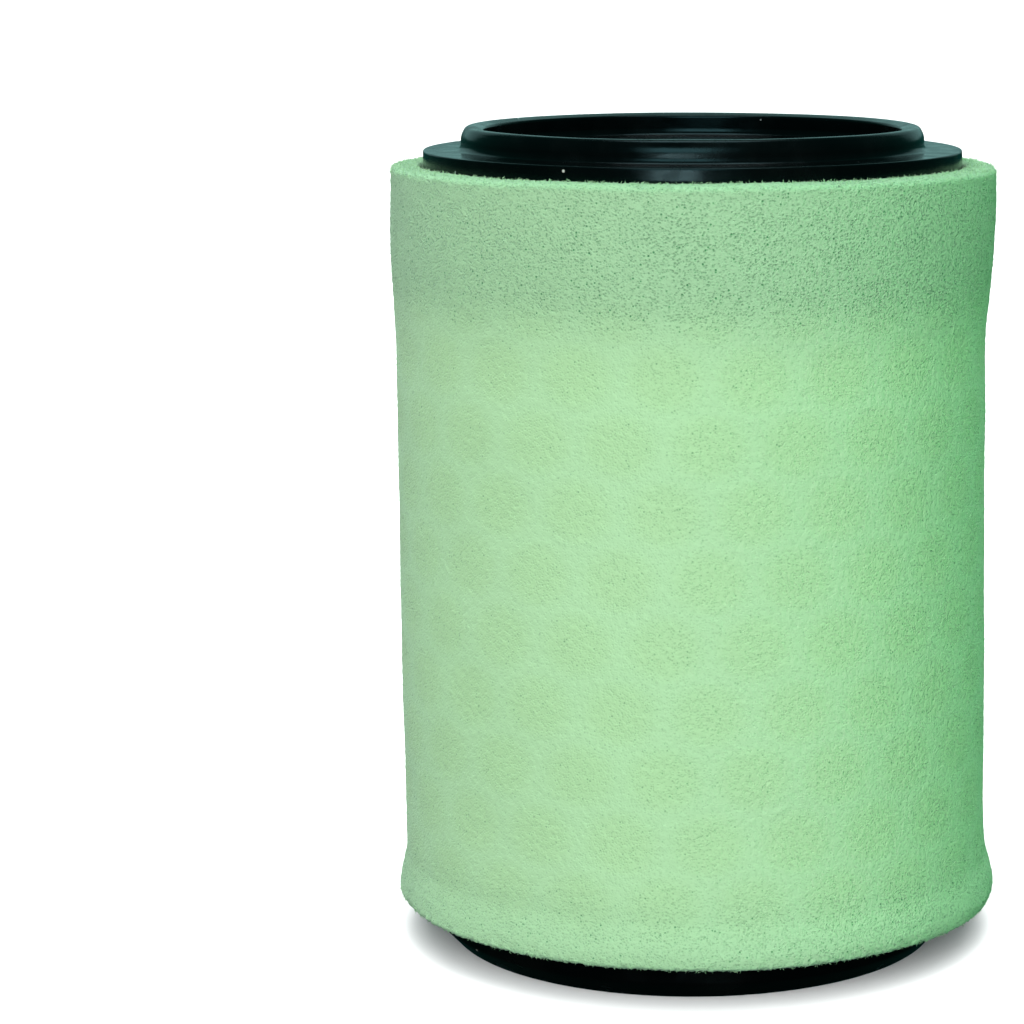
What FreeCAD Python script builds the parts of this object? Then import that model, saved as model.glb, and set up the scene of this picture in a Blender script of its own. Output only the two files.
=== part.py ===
"""Cylindrical air filter cartridge with a slip-on foam pre-filter sleeve.

Millimetres, +Z up, origin at the middle of the bottom face. The front is -Y.
Each piece is written to its own STEP file in parts/.
"""
import FreeCAD, Part
import math
import os

os.makedirs("parts", exist_ok=True)

# Driving dimensions
CAP_R = 43.0               # both end caps, outer radius
TOTAL_H = 132.4            # bottom face to the crest of the sealing lip
FLANGE_TOP = 128.7         # flat top of the upper cap
FLANGE_WALL = 6.3          # height of the upper cap's outer wall
CUP_H = 19.7               # height of the lower cap's outer wall
SCREEN_R = 40.7            # outer perforated wrap, outer radius
CORE_R = 27.0              # inner perforated tube, outer radius
SHEET = 0.5                # thickness of both perforated sheets
OPENING_R = 25.5           # clean air outlet in the upper cap

# Upper cap
CAP_DRAFT = 0.1            # the cap walls lean out by this much
FLASH = 0.25               # thin moulding edge under the flange
FLASH_H = 0.3              # its height
EDGE_ROUND = 0.6           # rounded edges of the upper cap
LIP_OUT_R = 36.9           # sealing lip, widest outside
LIP_ROUND = 2.0            # radius of its outer shoulder
LIP_IN_R = 33.5            # inner edge of the lip's crest
LIP_IN_DROP = 0.5          # that edge lies below the crest
LIP_FOOT_R = 36.6          # the lip's outside where it meets the flange
DISH_DROP = 0.7            # the dish inside the lip lies below the flange top
GROOVE_ROOF = 3.0          # rubber left above the groove for the pleat ends
GROOVE_R = 41.7            # outer wall of the groove, and inside of the lower cup
ARC_SHARE = 1 - math.sqrt(0.5)     # how far a quarter arc's middle stands in from its corner

# Lower cap
BASE_R = 39.7              # flat ring that the cartridge stands on
EDGE_R = 42.4              # top of the bevel round the base
EDGE_H = 2.9
RECESS_R = 28.0            # shallow dish under the base
RECESS_D = 1.2
FLOOR_TOP = 3.6            # inside floor of the lower cup
MARK_W = 5.2               # plain raised mould mark on the lower cup
MARK_T = 0.25
MARK_AZ = -7.0             # degrees from the front, negative to the left
MARK_LOW = 1.6             # the mark starts this far above the bevel
MARK_HIGH = 1.0            # and ends this far below the rim
RIM_ROUND = 0.5            # rounded rim of the cup

# Potting compound and the pack that it holds
PACK_BOTTOM = 6.0
PACK_TOP = 123.6
TOP_CREEP = 1.4            # compound showing under the flange
BOTTOM_CREEP = 1.7         # compound showing above the lower cup
CREEP_BEVEL = 0.5          # slope where the compound meets the rubber
CREEP_SETBACK = 0.6
DIP_RISE = 0.3             # lowest point of its dips, above the cup
POTTING_IN_R = 24.0

# Perforation
HOLE_D = 9.4
OUTER_HOLES = 22           # in each row of the wrap
CORE_HOLES = 14            # in each row of the inner tube
HOLE_ROWS = 11
FIRST_ROW_Z = 16.4
FIRST_HOLE_AZ = -5.1       # degrees from the front
LAP_W = 8.0                # overlap of the wrap at the back
LAP_GAP = 0.2              # from the lap's ends to the compound
DRILL_REACH = 3.0

# Pleated paper
PLEATS = 80
PAPER = 0.4
PLEAT_GAP = 0.3            # from each sheet to the paper
FOLD_FLAT = 0.45           # half width of a fold's flat tip
BEAD_GAP = 0.06

# Foam sleeve
SLEEVE_BORE_R = 43.75
SLEEVE_BOTTOM = 6.8
SLEEVE_TOP = 126.7
SLEEVE_OUTSIDE = [         # radius and height, from the flared lower edge up
    (48.5, 6.8), (49.0, 8.8), (48.1, 13.7), (47.7, 22.0), (47.5, 45.0), (47.4, 75.0), (47.5, 100.0),
    (48.2, 110.0), (48.3, 119.0), (48.2, 124.6), (46.9, 126.7),
]

Z = FreeCAD.Vector(0, 0, 1)
ORIGIN = FreeCAD.Vector(0, 0, 0)


def around(radius, degrees, z=0.0):
    """Point at an angle from the front, counted towards +X."""
    angle = math.radians(degrees)
    return FreeCAD.Vector(radius * math.sin(angle), -radius * math.cos(angle), z)


def rz(radius, z):
    """Point of a turned outline, in the X-Z plane."""
    return FreeCAD.Vector(radius, 0, z)


def turned(edges):
    """Solid made by turning a closed outline about the Z axis."""
    return Part.Face(Part.Wire(edges)).revolve(ORIGIN, Z, 360)


def lines(points):
    """Straight edges from each point to the next."""
    return [Part.LineSegment(a, b).toShape() for a, b in zip(points, points[1:])]


def arc(start, middle, end):
    return Part.Arc(start, middle, end).toShape()


def crest_arc(crest, end):
    """Arc that leaves the crest level and runs down to an end on either side."""
    across = end.x - crest.x
    drop = crest.z - end.z
    radius = (across ** 2 + drop ** 2) / (2 * drop)
    centre = rz(crest.x, crest.z - radius)
    halfway = math.atan2(across, end.z - centre.z) / 2
    middle = centre + rz(radius * math.sin(halfway), radius * math.cos(halfway))
    return arc(crest, middle, end)


def curve(points):
    """Smooth edge through the points."""
    spline = Part.BSplineCurve()
    spline.interpolate(points)
    return spline.toShape()


def ring(inner_r, outer_r, bottom, top):
    """Plain tube between two radii and two heights."""
    corners = [rz(inner_r, bottom), rz(outer_r, bottom), rz(outer_r, top), rz(inner_r, top)]
    return turned(lines(corners + corners[:1]))


def sector(inner_r, outer_r, bottom, top, centre, width):
    """Curved strip of a tube, its middle at an angle from the front."""
    half = width / 2.0
    outline = [
        arc(around(outer_r, centre - half), around(outer_r, centre), around(outer_r, centre + half)),
        Part.LineSegment(around(outer_r, centre + half), around(inner_r, centre + half)).toShape(),
        arc(around(inner_r, centre + half), around(inner_r, centre), around(inner_r, centre - half)),
        Part.LineSegment(around(inner_r, centre - half), around(outer_r, centre - half)).toShape(),
    ]
    strip = Part.Face(Part.Wire(outline)).extrude(FreeCAD.Vector(0, 0, top - bottom))
    strip.translate(FreeCAD.Vector(0, 0, bottom))
    return strip


def row_heights(radius, holes):
    """Heights of the hole rows, so that neighbours stand in equal triangles."""
    pitch = 2 * math.pi * radius / holes * math.sqrt(3) / 2
    return [FIRST_ROW_Z + row * pitch for row in range(HOLE_ROWS)]


def drills(radius, holes, heights):
    """Radial drills through one wall, staggered by half a pitch in every other row."""
    pitch = 360.0 / holes
    tools = []
    for row, z in enumerate(heights):
        for hole in range(holes):
            azimuth = FIRST_HOLE_AZ + (hole + 0.5 * (row % 2)) * pitch
            start = around(radius - DRILL_REACH, azimuth, z)
            direction = around(1.0, azimuth)
            tools.append(Part.makeCylinder(HOLE_D / 2.0, 2 * DRILL_REACH, start, direction))
    return tools


def outer_screen():
    """Perforated wrap with a lapped joint at the back."""
    tube = ring(SCREEN_R - SHEET, SCREEN_R, PACK_BOTTOM, PACK_TOP)
    lap_bottom = CUP_H + BOTTOM_CREEP + LAP_GAP
    lap_top = FLANGE_TOP - FLANGE_WALL - TOP_CREEP - LAP_GAP
    lap_angle = math.degrees(LAP_W / SCREEN_R)
    lap = sector(SCREEN_R, SCREEN_R + SHEET, lap_bottom, lap_top, 180.0, lap_angle)
    sheet = tube.fuse(lap).removeSplitter()
    return sheet.cut(drills(SCREEN_R, OUTER_HOLES, row_heights(SCREEN_R, OUTER_HOLES)))


def inner_core():
    """Perforated tube that the pleats lean on from inside."""
    tube = ring(CORE_R - SHEET, CORE_R, PACK_BOTTOM, PACK_TOP)
    heights = [z for z in row_heights(CORE_R, CORE_HOLES) if z < PACK_TOP - HOLE_D]
    return tube.cut(drills(CORE_R, CORE_HOLES, heights))


def pleat_radii():
    """Inner and outer radius of the paper's middle line."""
    inner = CORE_R + PLEAT_GAP + PAPER / 2
    outer = SCREEN_R - SHEET - PLEAT_GAP - PAPER / 2
    return inner, outer


def pleat_line():
    """Middle line of the pleats: a flat tip at each outer and inner fold."""
    inner, outer = pleat_radii()
    points = []
    for pleat in range(PLEATS):
        for radius, part in ((outer, 0.0), (inner, 0.5)):
            middle = 360.0 * (pleat + part) / PLEATS
            half = math.degrees(FOLD_FLAT / radius)
            points.append(around(radius, middle - half))
            points.append(around(radius, middle + half))
    return points


def beside(points, distance):
    """Closed line beside another, each corner moved to where the moved sides meet."""
    moved = []
    for i, here in enumerate(points):
        before = here - points[i - 1]
        after = points[(i + 1) % len(points)] - here
        before.normalize()
        after.normalize()
        normal_before = FreeCAD.Vector(before.y, -before.x, 0)
        normal_after = FreeCAD.Vector(after.y, -after.x, 0)
        bisector = normal_before + normal_after
        moved.append(here + bisector * (2 * distance / bisector.dot(bisector)))
    return moved


def pleated_media():
    """Paper pack: one closed zigzag wall."""
    middle = pleat_line()
    faces = []
    for side in (1, -1):
        points = beside(middle, side * PAPER / 2)
        faces.append(Part.Face(Part.makePolygon(points + points[:1])))
    faces.sort(key=lambda face: face.Area)
    section = faces[1].cut(faces[0]).Faces[0]
    wall = section.extrude(FreeCAD.Vector(0, 0, PACK_TOP - PACK_BOTTOM))
    wall.translate(FreeCAD.Vector(0, 0, PACK_BOTTOM))
    return wall


def media_seam_bead():
    """Glue in the valley where the two ends of the paper meet, at the back."""
    inner, outer = pleat_radii()
    valley_pleat = PLEATS // 2
    azimuth = 360.0 * (valley_pleat + 0.5) / PLEATS
    half_pitch = outer * math.sin(math.pi / PLEATS)
    inset = PAPER / 2 + BEAD_GAP
    corners = []
    for radius, share in ((inner + 2 * inset, 0.0), (outer - 2 * inset, 1.0)):
        half = FOLD_FLAT + share * (half_pitch - 2 * FOLD_FLAT) - inset
        turn = math.degrees(half / radius)
        corners.append((radius, turn))
    (near_r, near_turn), (far_r, far_turn) = corners
    outline = [
        around(near_r, azimuth - near_turn),
        around(far_r, azimuth - far_turn),
        around(far_r, azimuth + far_turn),
        around(near_r, azimuth + near_turn),
    ]
    face = Part.Face(Part.makePolygon(outline + outline[:1]))
    bead = face.extrude(FreeCAD.Vector(0, 0, PACK_TOP - PACK_BOTTOM))
    bead.translate(FreeCAD.Vector(0, 0, PACK_BOTTOM))
    return bead


def top_end_cap():
    """Moulded rubber ring: outlet, dish, sealing lip, flange, and the groove below."""
    skirt_z = FLANGE_TOP - FLANGE_WALL
    dish_z = FLANGE_TOP - DISH_DROP
    groove_z = FLANGE_TOP - GROOVE_ROOF
    outer_r = CAP_R + CAP_DRAFT
    flash_z = skirt_z + FLASH_H
    edge = EDGE_ROUND
    crest = rz(LIP_OUT_R - LIP_ROUND, TOTAL_H)
    inner_edge = rz(LIP_IN_R, TOTAL_H - LIP_IN_DROP)
    shoulder = rz(LIP_OUT_R, TOTAL_H - LIP_ROUND)
    outline = lines([
        rz(CORE_R - SHEET, skirt_z), rz(OPENING_R, skirt_z), rz(OPENING_R, dish_z - edge),
        rz(OPENING_R + edge, dish_z), rz(LIP_IN_R - edge, dish_z), inner_edge,
    ])
    outline.append(crest_arc(crest, inner_edge))
    outline.append(crest_arc(crest, shoulder))
    outline += lines([shoulder, rz(LIP_FOOT_R, FLANGE_TOP), rz(CAP_R - edge, FLANGE_TOP)])
    corner = rz(CAP_R - edge * ARC_SHARE, FLANGE_TOP - edge * ARC_SHARE)
    outline.append(arc(rz(CAP_R - edge, FLANGE_TOP), corner, rz(CAP_R, FLANGE_TOP - edge)))
    outline += lines([
        rz(CAP_R, FLANGE_TOP - edge), rz(outer_r, flash_z), rz(outer_r + FLASH, flash_z),
        rz(outer_r + FLASH, skirt_z), rz(GROOVE_R, skirt_z), rz(GROOVE_R, groove_z),
        rz(CORE_R - SHEET, groove_z), rz(CORE_R - SHEET, skirt_z),
    ])
    return turned(outline)


def top_potting():
    """Compound in the upper cap's groove, creeping a little way down the wrap."""
    skirt_z = FLANGE_TOP - FLANGE_WALL
    groove_z = FLANGE_TOP - GROOVE_ROOF
    corners = [
        rz(CORE_R - SHEET, PACK_TOP), rz(SCREEN_R, PACK_TOP), rz(SCREEN_R, skirt_z - TOP_CREEP),
        rz(GROOVE_R - CREEP_BEVEL, skirt_z - TOP_CREEP), rz(GROOVE_R, skirt_z - CREEP_SETBACK),
        rz(GROOVE_R, groove_z),
        rz(CORE_R - SHEET, groove_z),
    ]
    return turned(lines(corners + corners[:1]))


def bottom_end_cap():
    """Moulded rubber cup with a closed floor, a bevelled edge and a plain mould mark."""
    outer_r = CAP_R + CAP_DRAFT
    rim = RIM_ROUND
    outline = lines([
        rz(0, FLOOR_TOP), rz(0, RECESS_D), rz(RECESS_R, RECESS_D), rz(RECESS_R + RECESS_D, 0),
        rz(BASE_R, 0), rz(EDGE_R, EDGE_H), rz(outer_r, CUP_H - rim),
    ])
    rim_middle = rz(outer_r - rim * ARC_SHARE, CUP_H - rim * ARC_SHARE)
    outline.append(arc(rz(outer_r, CUP_H - rim), rim_middle, rz(outer_r - rim, CUP_H)))
    outline += lines([
        rz(outer_r - rim, CUP_H), rz(GROOVE_R, CUP_H), rz(GROOVE_R, FLOOR_TOP), rz(0, FLOOR_TOP),
    ])
    cup = turned(outline)
    width = math.degrees(MARK_W / CAP_R)
    inside_r = (CAP_R + GROOVE_R) / 2
    mark = sector(inside_r, outer_r + MARK_T, EDGE_H + MARK_LOW, CUP_H - MARK_HIGH, MARK_AZ, width)
    return cup.fuse(mark).removeSplitter()


def bottom_potting():
    """Compound in the cup: it climbs between the holes of the lowest row and dips across them."""
    creep_z = CUP_H + BOTTOM_CREEP
    corners = [
        rz(POTTING_IN_R, FLOOR_TOP), rz(GROOVE_R, FLOOR_TOP), rz(GROOVE_R, CUP_H),
        rz(GROOVE_R - CREEP_BEVEL, creep_z), rz(SCREEN_R, creep_z), rz(SCREEN_R, PACK_BOTTOM),
        rz(POTTING_IN_R, PACK_BOTTOM),
    ]
    compound = turned(lines(corners + corners[:1]))
    dip_r = HOLE_D / 2.0
    dip_z = CUP_H + DIP_RISE + dip_r
    scoops = []
    for hole in range(OUTER_HOLES):
        azimuth = FIRST_HOLE_AZ + hole * 360.0 / OUTER_HOLES
        start = around(SCREEN_R - 2 * SHEET, azimuth, dip_z)
        scoops.append(Part.makeCylinder(dip_r, DRILL_REACH, start, around(1.0, azimuth)))
    return compound.cut(scoops)


def foam_sleeve():
    """Stand-in for the open-cell sleeve: straight bore, waisted outside, flared lower edge."""
    outside = [rz(radius, z) for radius, z in SLEEVE_OUTSIDE]
    outline = [curve(outside)]
    outline += lines([
        outside[-1], rz(SLEEVE_BORE_R, SLEEVE_TOP), rz(SLEEVE_BORE_R, SLEEVE_BOTTOM), outside[0],
    ])
    return turned(outline)


PIECES = {
    "foam_sleeve": foam_sleeve,
    "outer_screen": outer_screen,
    "inner_core": inner_core,
    "pleated_media": pleated_media,
    "media_seam_bead": media_seam_bead,
    "top_end_cap": top_end_cap,
    "top_potting": top_potting,
    "bottom_end_cap": bottom_end_cap,
    "bottom_potting": bottom_potting,
}

for name, make in PIECES.items():
    shape = make()
    box = shape.BoundBox
    print(name, "solids", len(shape.Solids), "valid", shape.isValid(), "volume", round(shape.Volume, 1),
          "z", round(box.ZMin, 2), round(box.ZMax, 2), "r", round(box.XMax, 2))
    shape.exportStep("parts/" + name + ".step")
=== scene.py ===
"""Looks for a cylindrical air filter cartridge with a slip-on foam pre-filter.

Millimetres inside the shape functions, metres in the scene. The front is -Y, and angles
round the cartridge are counted from the front towards +X.
"""
import math

import bmesh
import bpy
import numpy as np
from bpy.props import FloatProperty, FloatVectorProperty, IntProperty, PointerProperty
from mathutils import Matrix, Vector


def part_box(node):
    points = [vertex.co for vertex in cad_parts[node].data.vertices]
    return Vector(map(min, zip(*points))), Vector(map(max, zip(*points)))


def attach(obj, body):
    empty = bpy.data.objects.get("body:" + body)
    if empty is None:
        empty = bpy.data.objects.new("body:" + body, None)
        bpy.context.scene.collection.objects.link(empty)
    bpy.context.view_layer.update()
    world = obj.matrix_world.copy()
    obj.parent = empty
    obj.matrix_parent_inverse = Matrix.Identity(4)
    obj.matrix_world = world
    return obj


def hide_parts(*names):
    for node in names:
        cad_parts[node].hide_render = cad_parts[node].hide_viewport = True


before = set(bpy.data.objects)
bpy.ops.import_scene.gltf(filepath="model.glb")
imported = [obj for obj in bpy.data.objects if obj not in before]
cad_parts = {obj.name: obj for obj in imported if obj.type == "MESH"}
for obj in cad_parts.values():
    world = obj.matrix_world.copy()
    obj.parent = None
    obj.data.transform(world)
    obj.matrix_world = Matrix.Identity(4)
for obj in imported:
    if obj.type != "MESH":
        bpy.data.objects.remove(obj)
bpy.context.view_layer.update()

bl_info = {
    "name": "Air Filter Cartridge",
    "version": (1, 0, 0),
    "blender": (4, 5, 0),
    "location": "3D View > Sidebar > Filter",
    "description": "Builds a pleated air filter cartridge with a foam sleeve round its CAD frame",
    "category": "Add Mesh",
}

MM = 0.001
TURN = 2.0 * math.pi
WHITE = (1.0, 1.0, 1.0)

# Names of the groups of pieces that a light can be limited to, and the slots in each
FILL_REACH = "fill lights reach"
CAP_REACH = "cap lights reach"
SLEEVE_REACH = "sleeve lights reach"
FLOOR_REACH = "floor lights reach"
REACHED_BY = {"black_rubber": (CAP_REACH,), "green_foam": (FILL_REACH, SLEEVE_REACH)}


# ---------------------------------------------------------------- sizes from the frame

def span(node):
    """Lowest and highest point of a CAD node, in millimetres."""
    low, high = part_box(node)
    return low[2] / MM, high[2] / MM


def radii(node, low=-1e6, high=1e6):
    """Smallest and largest radius of a CAD node's corners between two heights, in millimetres."""
    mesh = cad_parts[node].data
    corners = np.empty(len(mesh.vertices) * 3)
    mesh.vertices.foreach_get("co", corners)
    corners = corners.reshape(-1, 3) / MM
    inside = (corners[:, 2] > low) & (corners[:, 2] < high)
    reach = np.hypot(corners[inside, 0], corners[inside, 1])
    return float(reach.min()), float(reach.max())


# ---------------------------------------------------------------- settings

def colour(label, note, value):
    """Colour setting."""
    return FloatVectorProperty(name=label, description=note, subtype="COLOR", size=3, min=0.0, max=1.0,
                               default=value)


def length(label, note, value):
    """Length setting; its default is given in millimetres."""
    return FloatProperty(name=label, description=note, unit="LENGTH", subtype="DISTANCE", default=value * MM,
                         precision=5)


def plain(label, note, value):
    """Setting without a unit."""
    return FloatProperty(name=label, description=note, default=value)


class FoamSettings(bpy.types.PropertyGroup):
    """Sizes and colours of the foam sleeve."""
    strut: colour("Strut colour", "Lit threads of the foam", (0.480, 0.805, 0.458))
    # Pore colour: painted shade in the pits between the threads
    pore: colour("Pore colour", "Depth between the threads", (0.10, 0.34, 0.14))
    cloud: colour("Cloud colour", "What the foam's tone slowly drifts to", (0.52, 0.805, 0.52))
    # Painted shade of the wrap's holes showing through the foam
    hole_shade: colour("Tint over holes", "Where a hole of the wrap lies behind", (0.978, 0.978, 0.93))
    # Painted shade near the caps, where the foam stands clear of the wrap, and over the whole bore
    shaded_near_caps: colour("Tint where loose", "Where the foam stands clear of the wrap", (0.82, 0.85, 0.86))
    # Cut rims: painted shade, partly the darker open cells of the cut face
    cut: colour("Tint of cut ends", "Torn rims", (0.74, 0.86, 0.85))
    cell: length("Cell size", "Width of one pore", 0.38)
    grid: length("Grid step up", "Spacing of the surface's points", 0.42)
    step: length("Grid step round", "Spacing of the surface's points", 0.33)
    relief: length("Relief", "Height of the clumps in the mesh", 0.09)
    fray: length("Fray", "Height of the torn clumps along the edges", 0.20)
    bore: length("Bore radius", "Inside of the sleeve", 43.55)
    strands: IntProperty(name="Loose threads", description="Cut threads along the edges", default=9000, min=0)


class RubberSettings(bpy.types.PropertyGroup):
    """Finish of the moulded caps and the casting compound."""
    tone: colour("Rubber colour", "Black moulded rubber", (0.0007, 0.0016, 0.0018))
    compound: colour("Compound colour", "Cast black compound", (0.008, 0.008, 0.009))
    sheen: colour("Reflection tint", "Tint of the reflections on rubber", (0.35, 0.90, 1.0))
    film: colour("Film colour", "Faint bloom on the rubber", (0.004, 0.0055, 0.0055))
    dust: colour("Dust colour", "Pale specks on the rubber", (0.55, 0.60, 0.58))
    segments: IntProperty(name="Segments", description="Steps round each cap", default=288, min=64)


class SteelSettings(bpy.types.PropertyGroup):
    """Sizes and finish of the perforated sheets."""
    zinc: colour("Zinc colour", "Galvanised sheet", (0.74, 0.76, 0.78))
    hole: length("Hole diameter", "Punched holes", 9.4)
    first_row: length("First row", "Height of the lowest row of holes", 16.4)
    first_angle: FloatProperty(name="First hole", description="Angle from the front", subtype="ANGLE",
                               default=math.radians(-5.1))
    outer_holes: IntProperty(name="Holes in the wrap", description="Holes in each row", default=22)
    core_holes: IntProperty(name="Holes in the core", description="Holes in each row", default=14)
    rows: IntProperty(name="Rows", description="Rows of holes", default=11)


class PaperSettings(bpy.types.PropertyGroup):
    """Sizes and colours of the pleated paper."""
    face: colour("Paper colour", "Cream filter paper", (0.80, 0.66, 0.42))
    shade: colour("Fold colour", "Darker resin in the folds", (0.62, 0.46, 0.24))
    glue: colour("Glue colour", "Seam bead", (0.66, 0.55, 0.34))
    pleats: IntProperty(name="Pleats", description="Folds round the ring", default=80)
    sheet: length("Sheet", "Thickness of the paper", 0.4)


class StageSettings(bpy.types.PropertyGroup):
    """Camera and lights."""
    lens: plain("Lens", "Focal length in millimetres", 117.0)
    distance: FloatProperty(name="Distance", description="Camera to target", unit="LENGTH", default=0.5457)
    elevation: FloatProperty(name="Elevation", description="Camera above the level", subtype="ANGLE",
                             default=math.radians(11.25))
    target: FloatProperty(name="Target height", description="Point looked at", unit="LENGTH", default=0.0586)
    shift_x: plain("Shift across", "Share of the frame", -0.1763)
    shift_y: plain("Shift up", "Share of the frame", 0.0649)
    floor: colour("Floor colour", "Pale floor", (0.93, 0.93, 0.93))
    surround: colour("Surround", "Colour of the room", (0.12, 1.0, 0.82))
    ambient: plain("Ambient", "Strength of the room's light", 0.112)


# ---------------------------------------------------------------- mesh helpers

def build(name, points, quads, triangles=None):
    """Mesh object from points in millimetres and arrays of corner numbers."""
    mesh = bpy.data.meshes.new(name)
    quads = np.asarray(quads, dtype=np.int32).reshape(-1, 4)
    triangles = np.asarray([] if triangles is None else triangles, dtype=np.int32).reshape(-1, 3)
    loops = np.concatenate([quads.ravel(), triangles.ravel()])
    totals = np.concatenate([np.full(len(quads), 4), np.full(len(triangles), 3)])
    starts = np.concatenate([[0], np.cumsum(totals)[:-1]])
    mesh.vertices.add(len(points))
    mesh.vertices.foreach_set("co", (np.asarray(points) * MM).ravel())
    mesh.loops.add(len(loops))
    mesh.loops.foreach_set("vertex_index", loops.astype(np.int32))
    mesh.polygons.add(len(totals))
    mesh.polygons.foreach_set("loop_start", starts.astype(np.int32))
    mesh.polygons.foreach_set("use_smooth", np.ones(len(totals), dtype=bool))
    mesh.update(calc_edges=True)
    mesh.validate()
    piece = bpy.data.objects.new(name, mesh)
    bpy.context.scene.collection.objects.link(piece)
    return piece


def grid_quads(rows, columns, wrap_rows, wrap_columns):
    """Corner numbers of a grid's cells; a wrapped side joins its last line to its first."""
    row = np.arange(rows if wrap_rows else rows - 1)
    column = np.arange(columns if wrap_columns else columns - 1)
    a, b = np.meshgrid(row, column, indexing="ij")
    a_next = (a + 1) % rows
    b_next = (b + 1) % columns
    cells = [a * columns + b, a * columns + b_next, a_next * columns + b_next, a_next * columns + b]
    return np.stack(cells, axis=-1).reshape(-1, 4)


def placed(radius, angle, z):
    """Points from radius, angle from the front, and height."""
    return np.stack([radius * np.sin(angle), -radius * np.cos(angle), z + 0.0 * radius], axis=-1)


def softened(corners, setbacks, steps=5):
    """Closed outline with each corner replaced by a parabola.

    The parabola starts and ends one setback from the corner, along the two sides that
    meet there, and one more point stands a little further out to keep the flats flat.
    """
    here = np.asarray(corners, float)
    back = np.roll(here, 1, axis=0) - here
    on = np.roll(here, -1, axis=0) - here
    back_side = np.linalg.norm(back, axis=1, keepdims=True)
    on_side = np.linalg.norm(on, axis=1, keepdims=True)
    setback = np.minimum(np.asarray(setbacks, float)[:, None], 0.44 * np.minimum(back_side, on_side))
    share = np.linspace(0.0, 1.0, steps)[None, :, None]
    start = (here + back / back_side * setback)[:, None]
    end = (here + on / on_side * setback)[:, None]
    bend = (1 - share) ** 2 * start + 2 * share * (1 - share) * here[:, None] + share ** 2 * end
    before = (here + back / back_side * setback * 1.12)[:, None]
    after = (here + on / on_side * setback * 1.12)[:, None]
    return np.concatenate([before, bend, after], axis=1).reshape(-1, 2)


def waves(angle, amplitude, seed, slowest=2, fastest=9):
    """Closed uneven curve round a ring: a sum of sines with random strengths and phases."""
    rng = np.random.default_rng(seed)
    total = np.zeros_like(angle)
    for count in range(slowest, fastest + 1):
        total += rng.normal() * np.sin(count * angle + rng.uniform(0, TURN)) / math.sqrt(count)
    return amplitude * total / 2.0


def signed_area(outline):
    """Area inside a closed outline, negative if it runs clockwise."""
    x, y = outline[:, 0], outline[:, 1]
    return 0.5 * float(np.sum(x * np.roll(y, -1) - y * np.roll(x, -1)))


def turned(name, outline, angles, push=None):
    """Ring made by carrying a closed radius-height outline round the axis.

    push(radius, angle, height) may return moved radius and height arrays.
    """
    if signed_area(outline) < 0:
        outline = outline[::-1]
    radius, angle = np.meshgrid(outline[:, 0], angles, indexing="ij")
    height = np.broadcast_to(outline[:, 1][:, None], radius.shape)
    if push is not None:
        radius, height = push(radius, angle, height)
    points = placed(radius, angle, height).reshape(-1, 3)
    quads = grid_quads(len(outline), len(angles), True, True)
    return build(name, points, quads[:, ::-1])


def even_angles(count):
    """Angles evenly spaced round a full turn."""
    return np.linspace(0.0, TURN, count, endpoint=False)


HASH_FACTORS = (73856093, 19349663, 83492791)      # large primes, which scatter neighbouring cells
HASH_SIZE = 65536


def cell_walls(points, cell, seed, sharpness):
    """1 on the walls between random 3D cells, falling to 0 inside them.

    Each cubic cell holds one random seed point. The value is e to the power of minus
    sharpness times the gap between the nearest and the second nearest distance, in cells.
    """
    rng = np.random.default_rng(seed)
    table = rng.random((HASH_SIZE, 3))
    across, along, up = HASH_FACTORS
    scaled = points / cell
    base = np.floor(scaled).astype(np.int64)
    first = np.full(len(points), np.inf)
    second = np.full(len(points), np.inf)
    for step in np.ndindex(3, 3, 3):
        corner = base + np.array(step) - 1
        key = corner[:, 0] * across ^ corner[:, 1] * along ^ corner[:, 2] * up
        seeds = corner + table[key & (HASH_SIZE - 1)]
        distance = np.linalg.norm(seeds - scaled, axis=1)
        second = np.minimum(second, np.maximum(first, distance))
        first = np.minimum(first, distance)
    return np.exp(-(second - first) * sharpness)


def step_up(value, edge, width=0.09):
    """Smooth step from 0 to 1 at an edge."""
    return 1.0 / (1.0 + np.exp(np.clip(-(value - edge) / width, -60, 60)))


def step_down(value, edge, width=0.09):
    """Smooth step from 1 to 0 at an edge."""
    return 1.0 - step_up(value, edge, width)


def finish_piece(piece, material, body, slot, *nodes):
    """Gives a piece its material and body, links it to the lights that its slot reaches, and hides the CAD
    nodes it replaces.
    """
    piece.data.materials.append(material)
    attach(piece, body)
    if nodes:
        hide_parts(*nodes)
    for reach in REACHED_BY.get(slot, (FILL_REACH,)):
        bpy.data.collections[reach].objects.link(piece)


# ---------------------------------------------------------------- material helpers

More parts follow.
